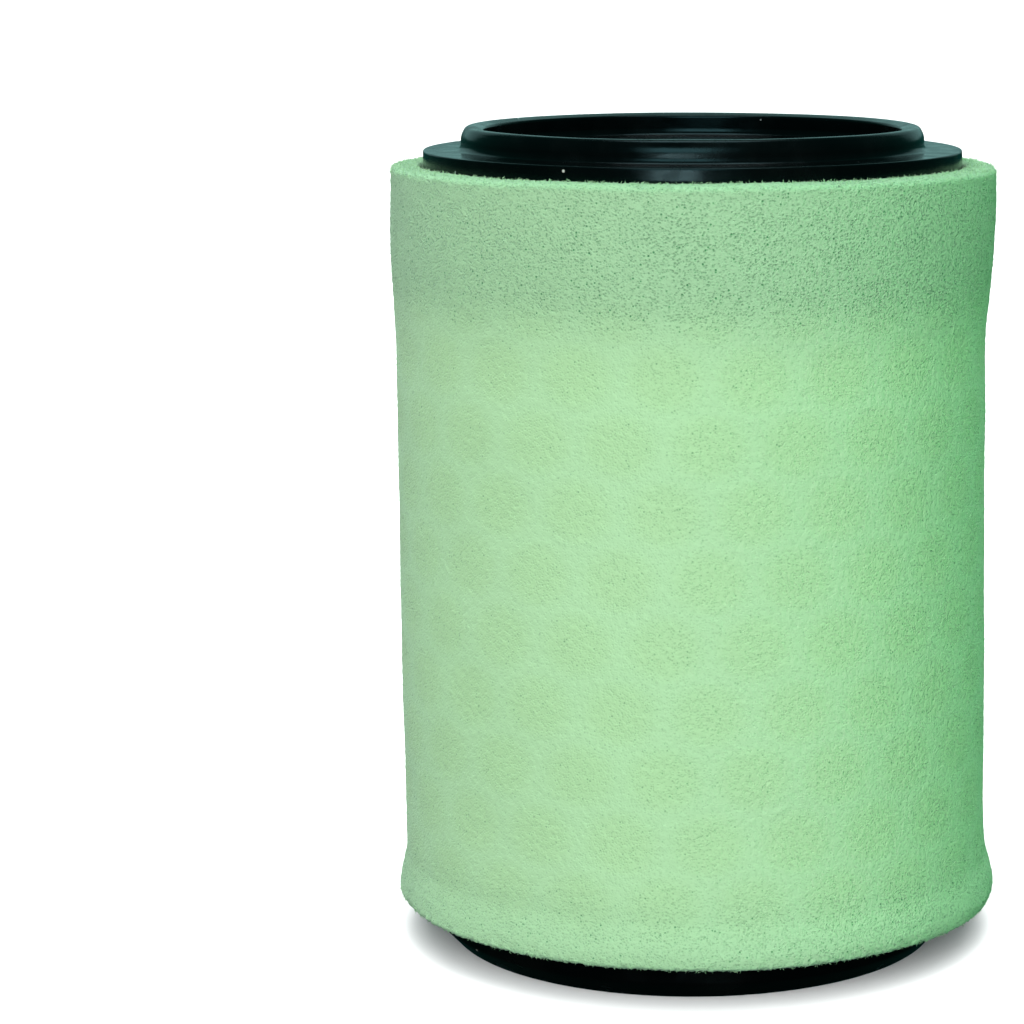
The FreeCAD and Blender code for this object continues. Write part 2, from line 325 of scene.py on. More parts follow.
class Net:
    """Short hand for adding and joining shader nodes."""

    def __init__(self, tree):
        self.tree = tree

    def add(self, kind, **values):
        """New node; each value sets the node's own option of that name, or else its socket."""
        node = self.tree.nodes.new(kind)
        for key, value in values.items():
            if hasattr(node, key):
                setattr(node, key, value)
            else:
                node.inputs[key.replace("_", " ")].default_value = value
        return node

    def join(self, source, target):
        self.tree.links.new(source, target)

    def math(self, operation, first, second=None, clamp=False):
        """Result of a sum on numbers or sockets."""
        node = self.tree.nodes.new("ShaderNodeMath")
        node.operation = operation
        node.use_clamp = clamp
        for socket, value in zip(node.inputs, (first, second)):
            if isinstance(value, (int, float)):
                socket.default_value = value
            elif value is not None:
                self.join(value, socket)
        return node.outputs[0]

    def noise(self, vector, scale, detail, roughness=0.5, distortion=0.0):
        """Height of a cloudy noise at a vector."""
        node = self.add("ShaderNodeTexNoise", Scale=scale, Detail=detail, Roughness=roughness,
                        Distortion=distortion)
        self.join(vector, node.inputs["Vector"])
        return node.outputs[0]

    def random_cells(self, vector, scale):
        """Distance to the middle of each random cell, and that cell's own random numbers."""
        node = self.add("ShaderNodeTexVoronoi", feature="F1", Scale=scale)
        self.join(vector, node.inputs["Vector"])
        split = self.add("ShaderNodeSeparateColor")
        self.join(node.outputs["Color"], split.inputs[0])
        return node.outputs["Distance"], split.outputs

    def stretched(self, vector, scale):
        """Vector with its own scale along each axis."""
        node = self.add("ShaderNodeMapping")
        node.inputs["Scale"].default_value = scale
        self.join(vector, node.inputs["Vector"])
        return node.outputs[0]

    def attribute(self, name):
        """Number that the mesh keeps on each point under a name."""
        return self.add("ShaderNodeAttribute", attribute_name=name).outputs["Fac"]

    def scaled(self, vector, factor):
        """Vector times a number or a socket."""
        node = self.tree.nodes.new("ShaderNodeVectorMath")
        node.operation = "SCALE"
        self.join(vector, node.inputs[0])
        if isinstance(factor, (int, float)):
            node.inputs["Scale"].default_value = factor
        else:
            self.join(factor, node.inputs["Scale"])
        return node.outputs[0]

    def ranged(self, value, low, high, out_low, out_high, smooth=True):
        """Value carried from one range to another, and held at its ends."""
        node = self.tree.nodes.new("ShaderNodeMapRange")
        node.interpolation_type = "SMOOTHSTEP" if smooth else "LINEAR"
        self.join(value, node.inputs["Value"])
        names = ("From Min", "From Max", "To Min", "To Max")
        for name, number in zip(names, (low, high, out_low, out_high)):
            if isinstance(number, (int, float)):
                node.inputs[name].default_value = number
            else:
                self.join(number, node.inputs[name])
        return node.outputs[0]

    def mixed(self, factor, first, second, blend="MIX"):
        """Colour between two colours; each may be a tuple or a socket."""
        node = self.tree.nodes.new("ShaderNodeMix")
        node.data_type = "RGBA"
        node.blend_type = blend
        sockets = (node.inputs["Factor"], node.inputs[6], node.inputs[7])
        for socket, value in zip(sockets, (factor, first, second)):
            if isinstance(value, (int, float)):
                socket.default_value = value
            elif isinstance(value, (tuple, list)):
                socket.default_value = (*value[:3], 1.0)
            else:
                self.join(value, socket)
        return node.outputs[2]

    def bump(self, height, distance, strength=1.0, under=None):
        """Normal from a height, laid over another bump if one is given."""
        node = self.tree.nodes.new("ShaderNodeBump")
        node.inputs["Distance"].default_value = distance
        node.inputs["Strength"].default_value = strength
        self.join(height, node.inputs["Height"])
        if under is not None:
            self.join(under, node.inputs["Normal"])
        return node.outputs["Normal"]


def new_group(name, inputs, outputs):
    """Shader node group with named sockets; returns its net and its two ends."""
    tree = bpy.data.node_groups.new(name, "ShaderNodeTree")
    for label, kind in inputs:
        tree.interface.new_socket(name=label, in_out="INPUT", socket_type=kind)
    for label, kind in outputs:
        tree.interface.new_socket(name=label, in_out="OUTPUT", socket_type=kind)
    net = Net(tree)
    return net, net.add("NodeGroupInput"), net.add("NodeGroupOutput")


def use_group(net, name, **values):
    """Adds a node group to a net, with its inputs set or joined."""
    node = net.tree.nodes.new("ShaderNodeGroup")
    node.node_tree = bpy.data.node_groups[name]
    for key, value in values.items():
        socket = node.inputs[key.replace("_", " ")]
        if isinstance(value, (int, float)):
            socket.default_value = value
        else:
            net.join(value, socket)
    return node


def new_material(name, **values):
    """Material with its net, its Principled shader and its Object coordinates; values go on the shader."""
    material = bpy.data.materials.new(name)
    material.use_nodes = True
    tree = material.node_tree
    tree.nodes.clear()
    net = Net(tree)
    output = net.add("ShaderNodeOutputMaterial")
    shader = net.add("ShaderNodeBsdfPrincipled", **values)
    net.join(shader.outputs[0], output.inputs["Surface"])
    place = net.add("ShaderNodeTexCoord").outputs["Object"]
    return material, net, shader, place


def cells_group():
    """Open cells: one pit in each random 3D cell, most of them faint and a few deep and dark; the Pit output
    is the mask of the painted shade in the pits, and Height is their relief.
    """
    net, start, end = new_group(
        "Open cells",
        [("Vector", "NodeSocketVector"), ("Cell", "NodeSocketFloat")],
        [("Pit", "NodeSocketFloat"), ("Height", "NodeSocketFloat")])
    space = net.scaled(start.outputs["Vector"], net.math("DIVIDE", 1.0, start.outputs["Cell"]))
    distance, chance = net.random_cells(space, 1.0)
    clumps = net.noise(space, 0.9, 2.0, 0.6)
    pit = net.ranged(distance, 0.12, 0.62, 1.0, 0.0)
    rare = net.ranged(chance[0], 0.93, 1.0, 0.0, 0.9)
    usual = net.ranged(chance[1], 0.0, 1.0, 0.07, 0.30, False)
    net.join(net.math("MULTIPLY", pit, net.math("MAXIMUM", rare, usual)), end.inputs["Pit"])
    depth = net.math("MULTIPLY", pit, net.ranged(chance[1], 0.0, 1.0, -0.4, -1.0, False))
    net.join(net.math("ADD", depth, clumps), end.inputs["Height"])


def specks_group():
    """Dust: rare pale specks and a faint cloudy film."""
    net, start, end = new_group(
        "Dust",
        [("Vector", "NodeSocketVector"), ("Density", "NodeSocketFloat")],
        [("Specks", "NodeSocketFloat"), ("Film", "NodeSocketFloat")])
    place = start.outputs["Vector"]
    distance, chance = net.random_cells(place, 520.0)
    near = net.ranged(distance, 0.08, 0.15, 1.0, 0.0)
    chosen = net.math("LESS_THAN", chance[0], start.outputs["Density"])
    net.join(net.math("MULTIPLY", near, chosen), end.inputs["Specks"])
    cloud = net.noise(place, 90.0, 5.0, 0.6)
    net.join(net.ranged(cloud, 0.42, 0.72, 0.0, 1.0), end.inputs["Film"])


def grain_group():
    """Mould grain: fine height noise with a slower swell under it."""
    net, start, end = new_group(
        "Mould grain",
        [("Vector", "NodeSocketVector"), ("Size", "NodeSocketFloat")],
        [("Height", "NodeSocketFloat"), ("Swell", "NodeSocketFloat")])
    space = net.scaled(start.outputs["Vector"], net.math("DIVIDE", 1.0, start.outputs["Size"]))
    net.join(net.noise(space, 1.0, 3.0, 0.65), end.inputs["Height"])
    net.join(net.noise(space, 0.06, 2.0, 0.5), end.inputs["Swell"])


def foam_material(settings, name, on_cartridge):
    """Mint open-cell foam: pale threads and green pits, the pits painted darker as painted shade.

    Painted shade also lies over the holes of the wrap behind, near the caps, where the foam
    stands clear of the steel, over the bore, and on the cut rims, partly their cells' own tone.
    The pits' painted shade and relief are stronger over the holes and near the caps, and
    fainter on the front, where the light falls flat.
    """
    material, net, shader, place = new_material(
        name, Roughness=0.92, Specular_IOR_Level=0.15, Sheen_Weight=0.20, Sheen_Roughness=0.5,
        Sheen_Tint=(0.78, 0.95, 1.0, 1.0))
    cells = use_group(net, "Open cells", Vector=place, Cell=settings.cell)
    cloud = net.ranged(net.noise(place, 28.0, 3.0, 0.55), 0.35, 0.7, 0.0, 0.10)
    tone = net.mixed(cloud, tuple(settings.strut), tuple(settings.cloud))
    shade_and_relief_strength = 1.0
    if on_cartridge:
        # Painted shade of the wrap's holes showing through the foam
        hole = net.attribute("hole_shade")
        # Painted shade near the caps and over the bore; it also strengthens the pits' painted shade and
        # relief there
        shaded_near_caps = net.attribute("near_cap_shade")
        tint = net.mixed(hole, WHITE, tuple(settings.hole_shade))
        tint = net.mixed(shaded_near_caps, tint, tuple(settings.shaded_near_caps))
        # Painted shade on the cut rims, partly their open cells' own darker tone
        tint = net.mixed(net.attribute("cut_rim_shade"), tint, tuple(settings.cut))
        tone = net.mixed(1.0, tone, tint, "MULTIPLY")
        # Strength of the pits' painted shade and of their relief: stronger over the holes and near the caps,
        # fainter on the front, where the light falls flat
        shade_and_relief_strength = net.math("ADD", net.math("MULTIPLY", hole, 0.30), net.math("MULTIPLY", shaded_near_caps, 1.00))
        shade_and_relief_strength = net.math("ADD", shade_and_relief_strength, net.ranged(net.attribute("flat_lit_front"), 0.0, 1.0, 1.1, 0.45))
    # Pits painted with the pore colour: painted shade in the pores
    pits = net.math("MULTIPLY", cells.outputs["Pit"], shade_and_relief_strength, clamp=True)
    net.join(net.mixed(pits, tone, tuple(settings.pore)), shader.inputs["Base Color"])
    height = net.math("MULTIPLY", cells.outputs["Height"], shade_and_relief_strength)
    net.join(net.bump(height, 0.09 * MM), shader.inputs["Normal"])
    return material


def rubber_material(settings):
    """Satin black moulded rubber with fine grain, faint film and a few specks of dust."""
    material, net, shader, place = new_material(
        "black rubber", Specular_IOR_Level=0.14, Specular_Tint=(*settings.sheen, 1.0))
    grain = use_group(net, "Mould grain", Vector=place, Size=0.25 * MM)
    dust = use_group(net, "Dust", Vector=place, Density=0.07)
    bloom = net.math("MULTIPLY", dust.outputs["Film"], 0.5)
    film = net.mixed(bloom, tuple(settings.tone), tuple(settings.film))
    net.join(net.mixed(dust.outputs["Specks"], film, tuple(settings.dust)), shader.inputs["Base Color"])
    rough = net.ranged(grain.outputs["Swell"], 0.3, 0.7, 0.14, 0.23)
    dull = net.math("MULTIPLY", dust.outputs["Film"], 0.10)
    net.join(net.math("ADD", rough, dull), shader.inputs["Roughness"])
    fine = net.bump(grain.outputs["Height"], 0.020 * MM, 0.7)
    net.join(net.bump(grain.outputs["Swell"], 0.05 * MM, 0.5, fine), shader.inputs["Normal"])
    return material


def compound_material(settings):
    """Cast black compound: lumpy, with a paler tone on the lumps and a few specks of dust."""
    material, net, shader, place = new_material("potting compound")
    lumps = use_group(net, "Mould grain", Vector=place, Size=0.9 * MM).outputs["Height"]
    dust = use_group(net, "Dust", Vector=place, Density=0.03)
    tone = net.mixed(lumps, tuple(settings.compound), (0.020, 0.021, 0.022))
    net.join(net.mixed(dust.outputs["Specks"], tone, (0.30, 0.30, 0.28)), shader.inputs["Base Color"])
    net.join(net.ranged(lumps, 0.3, 0.7, 0.25, 0.5), shader.inputs["Roughness"])
    net.join(net.bump(lumps, 0.25 * MM, 0.9), shader.inputs["Normal"])
    return material


def zinc_material(settings):
    """Galvanised sheet: crystal spangle in tone and gloss, with rolling lines and dull patches."""
    material, net, shader, place = new_material("galvanised sheet", Metallic=0.6)
    crystal = net.random_cells(place, 260.0)[1]
    streaks = net.noise(net.stretched(place, (700.0, 700.0, 60.0)), 1.0, 4.0, 0.6)
    dust = use_group(net, "Dust", Vector=place, Density=0.02)
    zinc = tuple(settings.zinc)
    darker = tuple(0.78 * part for part in zinc)
    tone = net.mixed(net.ranged(crystal[0], 0.0, 1.0, 0.0, 0.8, False), darker, zinc)
    lined = net.mixed(net.ranged(streaks, 0.35, 0.65, 0.0, 0.3), tone, (0.74, 0.75, 0.76))
    dull = net.mixed(net.math("MULTIPLY", dust.outputs["Film"], 0.25), lined, (0.42, 0.43, 0.42))
    net.join(dull, shader.inputs["Base Color"])
    gloss = net.ranged(crystal[1], 0.0, 1.0, 0.30, 0.50, False)
    rough = net.math("ADD", gloss, net.math("MULTIPLY", dust.outputs["Film"], 0.12))
    net.join(rough, shader.inputs["Roughness"])
    net.join(net.bump(streaks, 0.01 * MM, 0.5), shader.inputs["Normal"])
    return material


def paper_material(settings):
    """Cream filter paper: felted fibres running up the pleats, and darker resin stains."""
    material, net, shader, place = new_material("filter paper", Roughness=0.85, Specular_IOR_Level=0.25)
    fibres = net.noise(net.stretched(place, (1500.0, 1500.0, 420.0)), 1.0, 6.0, 0.7, 1.2)
    stains = net.ranged(net.noise(place, 75.0, 4.0, 0.6), 0.4, 0.75, 0.0, 0.55)
    base = net.mixed(stains, tuple(settings.face), tuple(settings.shade))
    pale = net.mixed(net.ranged(fibres, 0.35, 0.7, 0.0, 0.5), base, (0.90, 0.80, 0.60))
    net.join(pale, shader.inputs["Base Color"])
    net.join(net.bump(fibres, 0.05 * MM, 0.7), shader.inputs["Normal"])
    return material


def glue_material(settings):
    """Dull hot-melt glue with slow lumps."""
    material, net, shader, place = new_material("seam glue")
    lumps = use_group(net, "Mould grain", Vector=place, Size=0.6 * MM)
    tone = net.mixed(lumps.outputs["Height"], tuple(settings.glue), (0.80, 0.70, 0.48))
    net.join(tone, shader.inputs["Base Color"])
    net.join(net.ranged(lumps.outputs["Swell"], 0.3, 0.7, 0.35, 0.5), shader.inputs["Roughness"])
    net.join(net.bump(lumps.outputs["Height"], 0.1 * MM, 0.6), shader.inputs["Normal"])
    return material


def floor_material(settings):
    """Pale floor with a faint slow mottle."""
    material, net, shader, place = new_material("pale floor", Roughness=0.75, Specular_IOR_Level=0.2)
    tone = tuple(settings.floor)
    darker = tuple(0.97 * part for part in tone)
    mottle = net.math("MULTIPLY", net.noise(place, 3.0, 2.0), 0.2)
    net.join(net.mixed(mottle, tone, darker), shader.inputs["Base Color"])
    return material


# ---------------------------------------------------------------- foam sleeve

# Outside radius of the worn sleeve at a few heights, with how far its right side
# stands out further than its left, in millimetres.
SLEEVE_HEIGHTS = np.array([
    6.5, 8.6, 11.0, 13.7, 17.0, 22.0, 40.0, 56.0, 72.0, 89.0, 101.0, 105.5, 113.0, 121.0, 127.0])
SLEEVE_RADII = np.array([
    49.0, 49.1, 48.65, 48.0, 47.8, 47.7, 47.75, 47.65, 47.5, 47.5, 47.55, 47.9, 48.35, 48.4, 48.3])
SLEEVE_SKEW = np.array([
    0.40, 0.75, 0.75, 0.60, 0.45, 0.35, 0.15, 0.0, -0.1, -0.2, -0.3, -0.2, -0.05, 0.1, 0.1])
LOW_ROUND = 0.8            # rounded outer corner of the sleeve's lower end
TOP_ROUND = 0.9            # and of its upper end
BORE_STEP = 0.5            # from the bore to the first point of either end
DROOP_REACH = 15.0         # the ends' unevenness fades over this height
CLUMP_CELL = 1.15          # coarse cells of the relief
GRAIN_CELL = 0.72          # fine cells of the relief
FRAY_TOP = 2.0             # the fray starts this far below the top
FRAY_BOTTOM = 3.0          # and this far above the bottom
TORN_TOP = 0.75            # height of the cut rim's painted shade at the top
TORN_BOTTOM = 0.5          # and at the bottom
STRAND_REACH = (0.12, 0.42)            # shortest and longest loose thread
STRAND_THICK = (0.03, 0.055)           # thinnest and thickest
STRAND_BEND = 0.25                     # most that one bends sideways
SHOW_THROUGH = 0.48        # radius of a hole's painted shade showing through the foam, in hole diameters
SHOW_BLUR = 0.6            # how softly that painted shade fades
CAP_SHADE_ABOVE = 106.0        # painted shade near the upper cap, where the foam stands clear of the wrap, starts above this height
CAP_SHADE_BELOW = 15.0         # and near the lower cap, below this one
FLAT_LIT_TURN = math.radians(-15.0)       # the pits' painted shade is faintest here, where the front light falls flat, counted from the front
FLAT_LIT_WIDTH = math.radians(58.0)       # and grows again this far to either side


def smooth_curve(x, knots, values):
    """Curve through the knots: a cubic on each stretch, with the slope of the knots on either side."""
    place = np.clip(np.searchsorted(knots, x) - 1, 0, len(knots) - 2)
    width = knots[place + 1] - knots[place]
    share = np.clip((x - knots[place]) / width, 0.0, 1.0)
    slopes = np.gradient(values, knots)
    start, leave = values[place], width * slopes[place]
    end, arrive = values[place + 1], width * slopes[place + 1]
    square, cube = share ** 2, share ** 3
    cubic = (2 * cube - 3 * square + 1) * start + (cube - 2 * square + share) * leave
    return cubic + (3 * square - 2 * cube) * end + (cube - square) * arrive


def quarter(centre, reach, start, steps):
    """Quarter turn round a centre in the radius-height plane, counted from outwards to up."""
    turn = math.radians(start) + np.linspace(0.0, math.pi / 2, steps)
    return np.stack([centre[0] + reach * np.cos(turn), centre[1] + reach * np.sin(turn)], axis=1)


def sleeve_outline(grid, bore, bottom, top):
    """Closed outline of the sleeve's wall, as radius and height.

    It runs up the outside, over a rounded top edge, down the straight bore, and back
    across a flat lower end with a tight outer corner. Returned with it is 1 on the
    outside and 0 in the bore.
    """
    heights = np.arange(bottom + LOW_ROUND, top - TOP_ROUND, grid)
    outside = np.stack([smooth_curve(heights, SLEEVE_HEIGHTS, SLEEVE_RADII), heights], axis=1)
    top_r, low_r = outside[-1, 0] - TOP_ROUND, outside[0, 0] - LOW_ROUND
    shoulder = quarter((top_r, top - TOP_ROUND), TOP_ROUND, 0.0, 11)[1:]
    rim = np.stack([np.linspace(top_r, bore + BORE_STEP, 18)[1:], np.full(17, top)], axis=1)
    inner_heights = np.linspace(top - BORE_STEP, bottom + BORE_STEP, 70)
    inner = np.stack([np.full(70, bore), inner_heights], axis=1)
    under = np.stack([np.linspace(bore + BORE_STEP, low_r, 15)[:-1], np.full(14, bottom)], axis=1)
    corner = quarter((low_r, bottom + LOW_ROUND), LOW_ROUND, -90.0, 7)[:-1]
    parts = [outside, shoulder, rim, inner, under, corner]
    worn = np.concatenate([np.full(len(part), 0.0 if part is inner else 1.0) for part in parts])
    return np.concatenate(parts), worn


def outline_normals(outline):
    """Outward direction at each point of a closed outline, in the radius-height plane."""
    along = np.roll(outline, -1, axis=0) - np.roll(outline, 1, axis=0)
    return np.stack([along[:, 1], -along[:, 0]], axis=1) / np.linalg.norm(along, axis=1, keepdims=True)


def facing(normal, angle):
    """Direction in space of a radius-height direction carried to an angle round the axis."""
    out, up = normal[..., 0], normal[..., 1]
    return np.stack([out * np.sin(angle), -out * np.cos(angle), up + 0.0 * angle], axis=-1)


def slow_swell(angle, height):
    """Unevenness a few millimetres to a few centimetres wide, under a quarter millimetre high."""
    swell = waves(angle, 0.10, 21) * np.sin(height / 17.0) + waves(angle, 0.08, 22) * np.cos(height / 29.0)
    return swell + 0.05 * np.sin(9 * angle + height / 5.0) * np.sin(height / 7.0 + 3 * angle)


def sleeve_droop(radius, angle, height, bottom, top):
    """How far the sleeve's ends rise above level: it sits a little askew and was cut unevenly."""
    right = np.sin(angle)
    inside = np.clip((48.0 - radius) / 1.5, 0.0, 1.0)
    low_share = np.clip(1.0 - (height - bottom) / DROOP_REACH, 0.0, 1.0)
    top_share = np.clip(1.0 - (top - height) / DROOP_REACH, 0.0, 1.0)
    low = low_share * (0.25 - 0.35 * right + waves(angle, 0.10, 11))
    tilt = 0.35 * np.cos(angle) - 0.15 * right + 0.3 * inside * np.maximum(right, 0.0)
    return low + top_share * (tilt - 0.62 + waves(angle, 0.08, 12, 3, 14))


def as_worn(radius, angle, height, bottom, top, worn=1.0):
    """Radius and height of the sleeve's surface once it is pulled on: out of round, uneven and askew."""
    skew = np.interp(height, SLEEVE_HEIGHTS, SLEEVE_SKEW) * np.sin(angle)
    radius = radius + worn * (skew + slow_swell(angle, height))
    return radius, height + sleeve_droop(radius, angle, height, bottom, top)


def over_holes(angle, height, steel):
    """1 where the sleeve lies over a hole of the steel wrap, 0 over the metal between."""
    radius = radii("outer_screen")[1]
    pitch = TURN / steel.outer_holes
    row_pitch = radius * pitch * math.sqrt(3) / 2
    row = np.round((height - steel.first_row / MM) / row_pitch)
    turn = angle - steel.first_angle - 0.5 * pitch * np.mod(row, 2)
    across = (np.mod(turn + pitch / 2, pitch) - pitch / 2) * radius
    away = np.hypot(across, height - steel.first_row / MM - row * row_pitch)
    hole = 1.0 / (1.0 + np.exp((away - SHOW_THROUGH * steel.hole / MM) / SHOW_BLUR))
    return hole * (row >= 0) * (row < steel.rows)


def near_cap_shade_band(height):
    """1 near the caps, where the sleeve stands clear of the wrap: mask of the painted shade there, which also
    strengthens the pits' painted shade and relief.
    """
    return step_up(height, CAP_SHADE_ABOVE, 1.8) + 0.8 * step_down(height, CAP_SHADE_BELOW, 2.2)


def store(piece, name, values):
    """Keeps one number per point on the mesh, for its material to read."""
    attribute = piece.data.attributes.new(name, "FLOAT", "POINT")
    attribute.data.foreach_set("value", values.astype(np.float32))


def make_sleeve(foam, steel):
    """Foam tube: an outline carried round, moved along its normal by 3D cells and slow waves."""
    bottom, top = span("foam_sleeve")
    outline, worn = sleeve_outline(foam.grid / MM, foam.bore / MM, bottom, top)
    count = int(TURN * outline[:, 0].max() / (foam.step / MM))
    radius, angle = np.meshgrid(outline[:, 0], even_angles(count), indexing="ij")
    height = np.repeat(outline[:, 1][:, None], count, axis=1)
    radius, height = as_worn(radius, angle, height, bottom, top, worn[:, None])
    points = placed(radius, angle, height).reshape(-1, 3)
    direction = facing(outline_normals(outline)[:, None], angle).reshape(-1, 3)

    rng = np.random.default_rng(5)
    grit = rng.normal(0.0, 0.22, len(points))
    threads = cell_walls(points, CLUMP_CELL, 3, 7.0) + 0.8 * cell_walls(points, GRAIN_CELL, 4, 6.0)
    above, below = height.ravel() - (top - FRAY_TOP), bottom + FRAY_BOTTOM - height.ravel()
    at_end = np.clip((np.maximum(above, 0.0) + np.maximum(below, 0.0)) / 2.0, 0.0, 1.0)
    reach = foam.relief + (foam.fray - foam.relief) * at_end
    depth = reach / MM * np.clip(threads - 0.75 + grit, -1.1, 1.4)
    outside = np.repeat(worn, count)
    depth = np.where(outside > 0.5, depth, np.minimum(depth, 0.02))
    points = points + direction * depth[:, None]
    piece = build("foam_sleeve", points, grid_quads(len(outline), count, True, True)[:, ::-1])

    # Mask of the painted shade of the wrap's holes showing through the foam
    store(piece, "hole_shade", outside * over_holes(angle, height, steel).ravel())
    # Painted shade near the caps, and over the whole bore
    store(piece, "near_cap_shade", np.where(outside > 0.5, near_cap_shade_band(height).ravel(), 1.0))
    # Fades the pits' painted shade and relief on the front, where the light falls flat
    turn = np.mod(angle - FLAT_LIT_TURN + math.pi, TURN) - math.pi
    store(piece, "flat_lit_front", np.exp(-(turn / FLAT_LIT_WIDTH) ** 4).ravel())
    # Cut rims: painted shade, partly the open cells' own darker tone, unevenly strong
    rise = outline[:, 1]
    torn = step_up(rise, top - TORN_TOP, 0.15) + step_down(rise, bottom + TORN_BOTTOM, 0.15)
    store(piece, "cut_rim_shade", np.repeat(torn, count) * outside * rng.uniform(0.6, 1.0, len(points)))
    return piece


def make_strands(foam):
    """Cut threads standing out of the sleeve's edges.

    Each is a bent, tapering three-sided thread: three rings of three points and a tip,
    on a line that starts on the surface and curves to one side.
    """
    rng = np.random.default_rng(31)
    bottom, top = span("foam_sleeve")
    outline, worn = sleeve_outline(0.5, foam.bore / MM, bottom, top)
    at_edge = (outline[:, 1] > top - 1.2) | (outline[:, 1] < bottom + 1.0)
    weight = at_edge * (worn > 0.5)
    pick = rng.choice(len(outline), foam.strands, p=weight / weight.sum())
    angle = rng.uniform(0.0, TURN, foam.strands)
    height = outline[pick, 1] + rng.uniform(-0.25, 0.25, foam.strands)
    radius, height = as_worn(outline[pick, 0], angle, height, bottom, top)
    base = placed(radius, angle, height)
    direction = facing(outline_normals(outline)[pick], angle) + rng.normal(0.0, 0.75, (foam.strands, 3))
    direction /= np.linalg.norm(direction, axis=1, keepdims=True)
    side = np.cross(direction, rng.normal(size=(foam.strands, 3)))
    side /= np.linalg.norm(side, axis=1, keepdims=True)
    third = np.cross(direction, side)
    reach = rng.uniform(*STRAND_REACH, foam.strands)[:, None]
    thick = rng.uniform(*STRAND_THICK, foam.strands)[:, None]
    bend = rng.uniform(-STRAND_BEND, STRAND_BEND, foam.strands)[:, None]
    rings = []
    for share, taper in ((-0.25, 1.3), (0.35, 0.9), (0.75, 0.6)):
        centre = base + direction * reach * share + side * bend * share * share
        for turn in even_angles(3):
            rings.append(centre + (side * math.cos(turn) + third * math.sin(turn)) * thick * taper)
    rings.append(base + direction * reach + side * bend)
    points = np.stack(rings, axis=1)
    first = (np.arange(foam.strands) * len(rings))[:, None, None]
    corner = np.arange(3)
    beside = (corner + 1) % 3
    ring = np.stack([corner, beside, 3 + beside, 3 + corner], axis=1)
    sides = np.concatenate([ring, ring + 3])
    ends = np.concatenate([np.stack([6 + corner, 6 + beside, np.full(3, 9)], axis=1), [[2, 1, 0]]])
    return build("foam_threads", points.reshape(-1, 3), first + sides[None], first + ends[None])


class FILTER_OT_foam(bpy.types.Operator):
    """Foam sleeve with its open cells and the cut threads along its edges"""
    bl_idname = "filter.foam"
    bl_label = "Foam sleeve"

    def execute(self, context):
        foam, steel = context.scene.filter_foam, context.scene.filter_steel
        sleeve = make_sleeve(foam, steel)
        finish_piece(sleeve, foam_material(foam, "green foam", True), "sleeve", "green_foam", "foam_sleeve")
        threads = make_strands(foam)
        finish_piece(threads, foam_material(foam, "foam threads", False), "sleeve", "green_foam")
        return {"FINISHED"}


# ---------------------------------------------------------------- caps and compound

# Upper cap, in millimetres
FLANGE_DROP = 3.7          # flat top of the flange, below the crest of the lip
DISH_DROP = 0.1            # dish inside the lip, below the flange's flat top
LIP_IN_R = 33.35           # inner edge of the lip's crest
LIP_CREST_R = 35.0
LIP_SHOULDER_R = 36.2
LIP_OUT_R = 36.95          # outside of the lip, under its shoulder
LIP_FOOT_R = 37.0          # where it meets the flange
FLASH_H = 0.32             # thin moulding edge under the flange

# Lower cap, in millimetres
RECESS_R = 28.0            # shallow dish under the base
RECESS_D = 1.2
BASE_R = 39.7              # flat ring that the cartridge stands on
EDGE_R = 42.4              # top of the bevel round the base
EDGE_H = 2.9
MARK_R = 43.0              # radius at the plain mould mark
MARK_TURN = math.radians(-7.0)
MARK_HALF = 2.6            # half its width
MARK_T = 0.25              # how far it stands out
MARK_LOW = 4.5             # its lower edge above the base
MARK_HIGH = 1.0            # its upper edge below the rim
HUB_R = 0.4                # small ring round the axis, drawn together at the end

SHEET = 0.5                # thickness of both perforated sheets
LAP_W = 8.0                # overlap of the wrap at the back

def make_top_cap(rubber):
    """Upper cap: outline of the outlet, dish, lip, flange and groove, carried round."""
    low, high = span("top_end_cap")
    opening, widest = radii("top_end_cap")
    core = radii("inner_core")[0]
    groove = radii("top_potting")[1]
    flange_top = high - FLANGE_DROP
    wall = radii("top_end_cap", flange_top - 1.5, flange_top + 0.01)[1]
    roof = span("top_potting")[1]
    dish = flange_top - DISH_DROP
    corners = [
        (core, low), (opening, low), (opening, dish), (LIP_IN_R - 0.1, dish), (LIP_IN_R, high - 0.45),
        (LIP_CREST_R, high), (LIP_SHOULDER_R, high - 0.05), (LIP_OUT_R, high - 1.4),
        (LIP_FOOT_R, flange_top), (wall, flange_top), (widest - 0.25, low + FLASH_H),
        (widest, low + FLASH_H - 0.07), (widest, low), (groove, low), (groove, roof), (core, roof),
    ]
    setbacks = [0.1, 0.25, 0.5, 1.2, 0.35, 0.8, 0.7, 0.7, 1.2, 0.3, 0.06, 0.07, 0.07, 0.1, 0.1, 0.1]
    outline = softened(corners, setbacks, 7)

    def push(radius, angle, height):
        on_lip = np.clip((height - flange_top) / (high - flange_top), 0.0, 1.0) * (radius < wall - 3)
        flash = (height < low + 0.6) & (radius > groove + 0.6)
        height = height + on_lip * waves(angle, 0.04, 41)
        ragged = np.minimum(waves(angle, 0.10, 42, 6, 40), 0.05)
        return radius + np.where(flash, ragged, waves(angle, 0.03, 43)), height

    return turned("top_end_cap", outline, even_angles(rubber.segments), push)


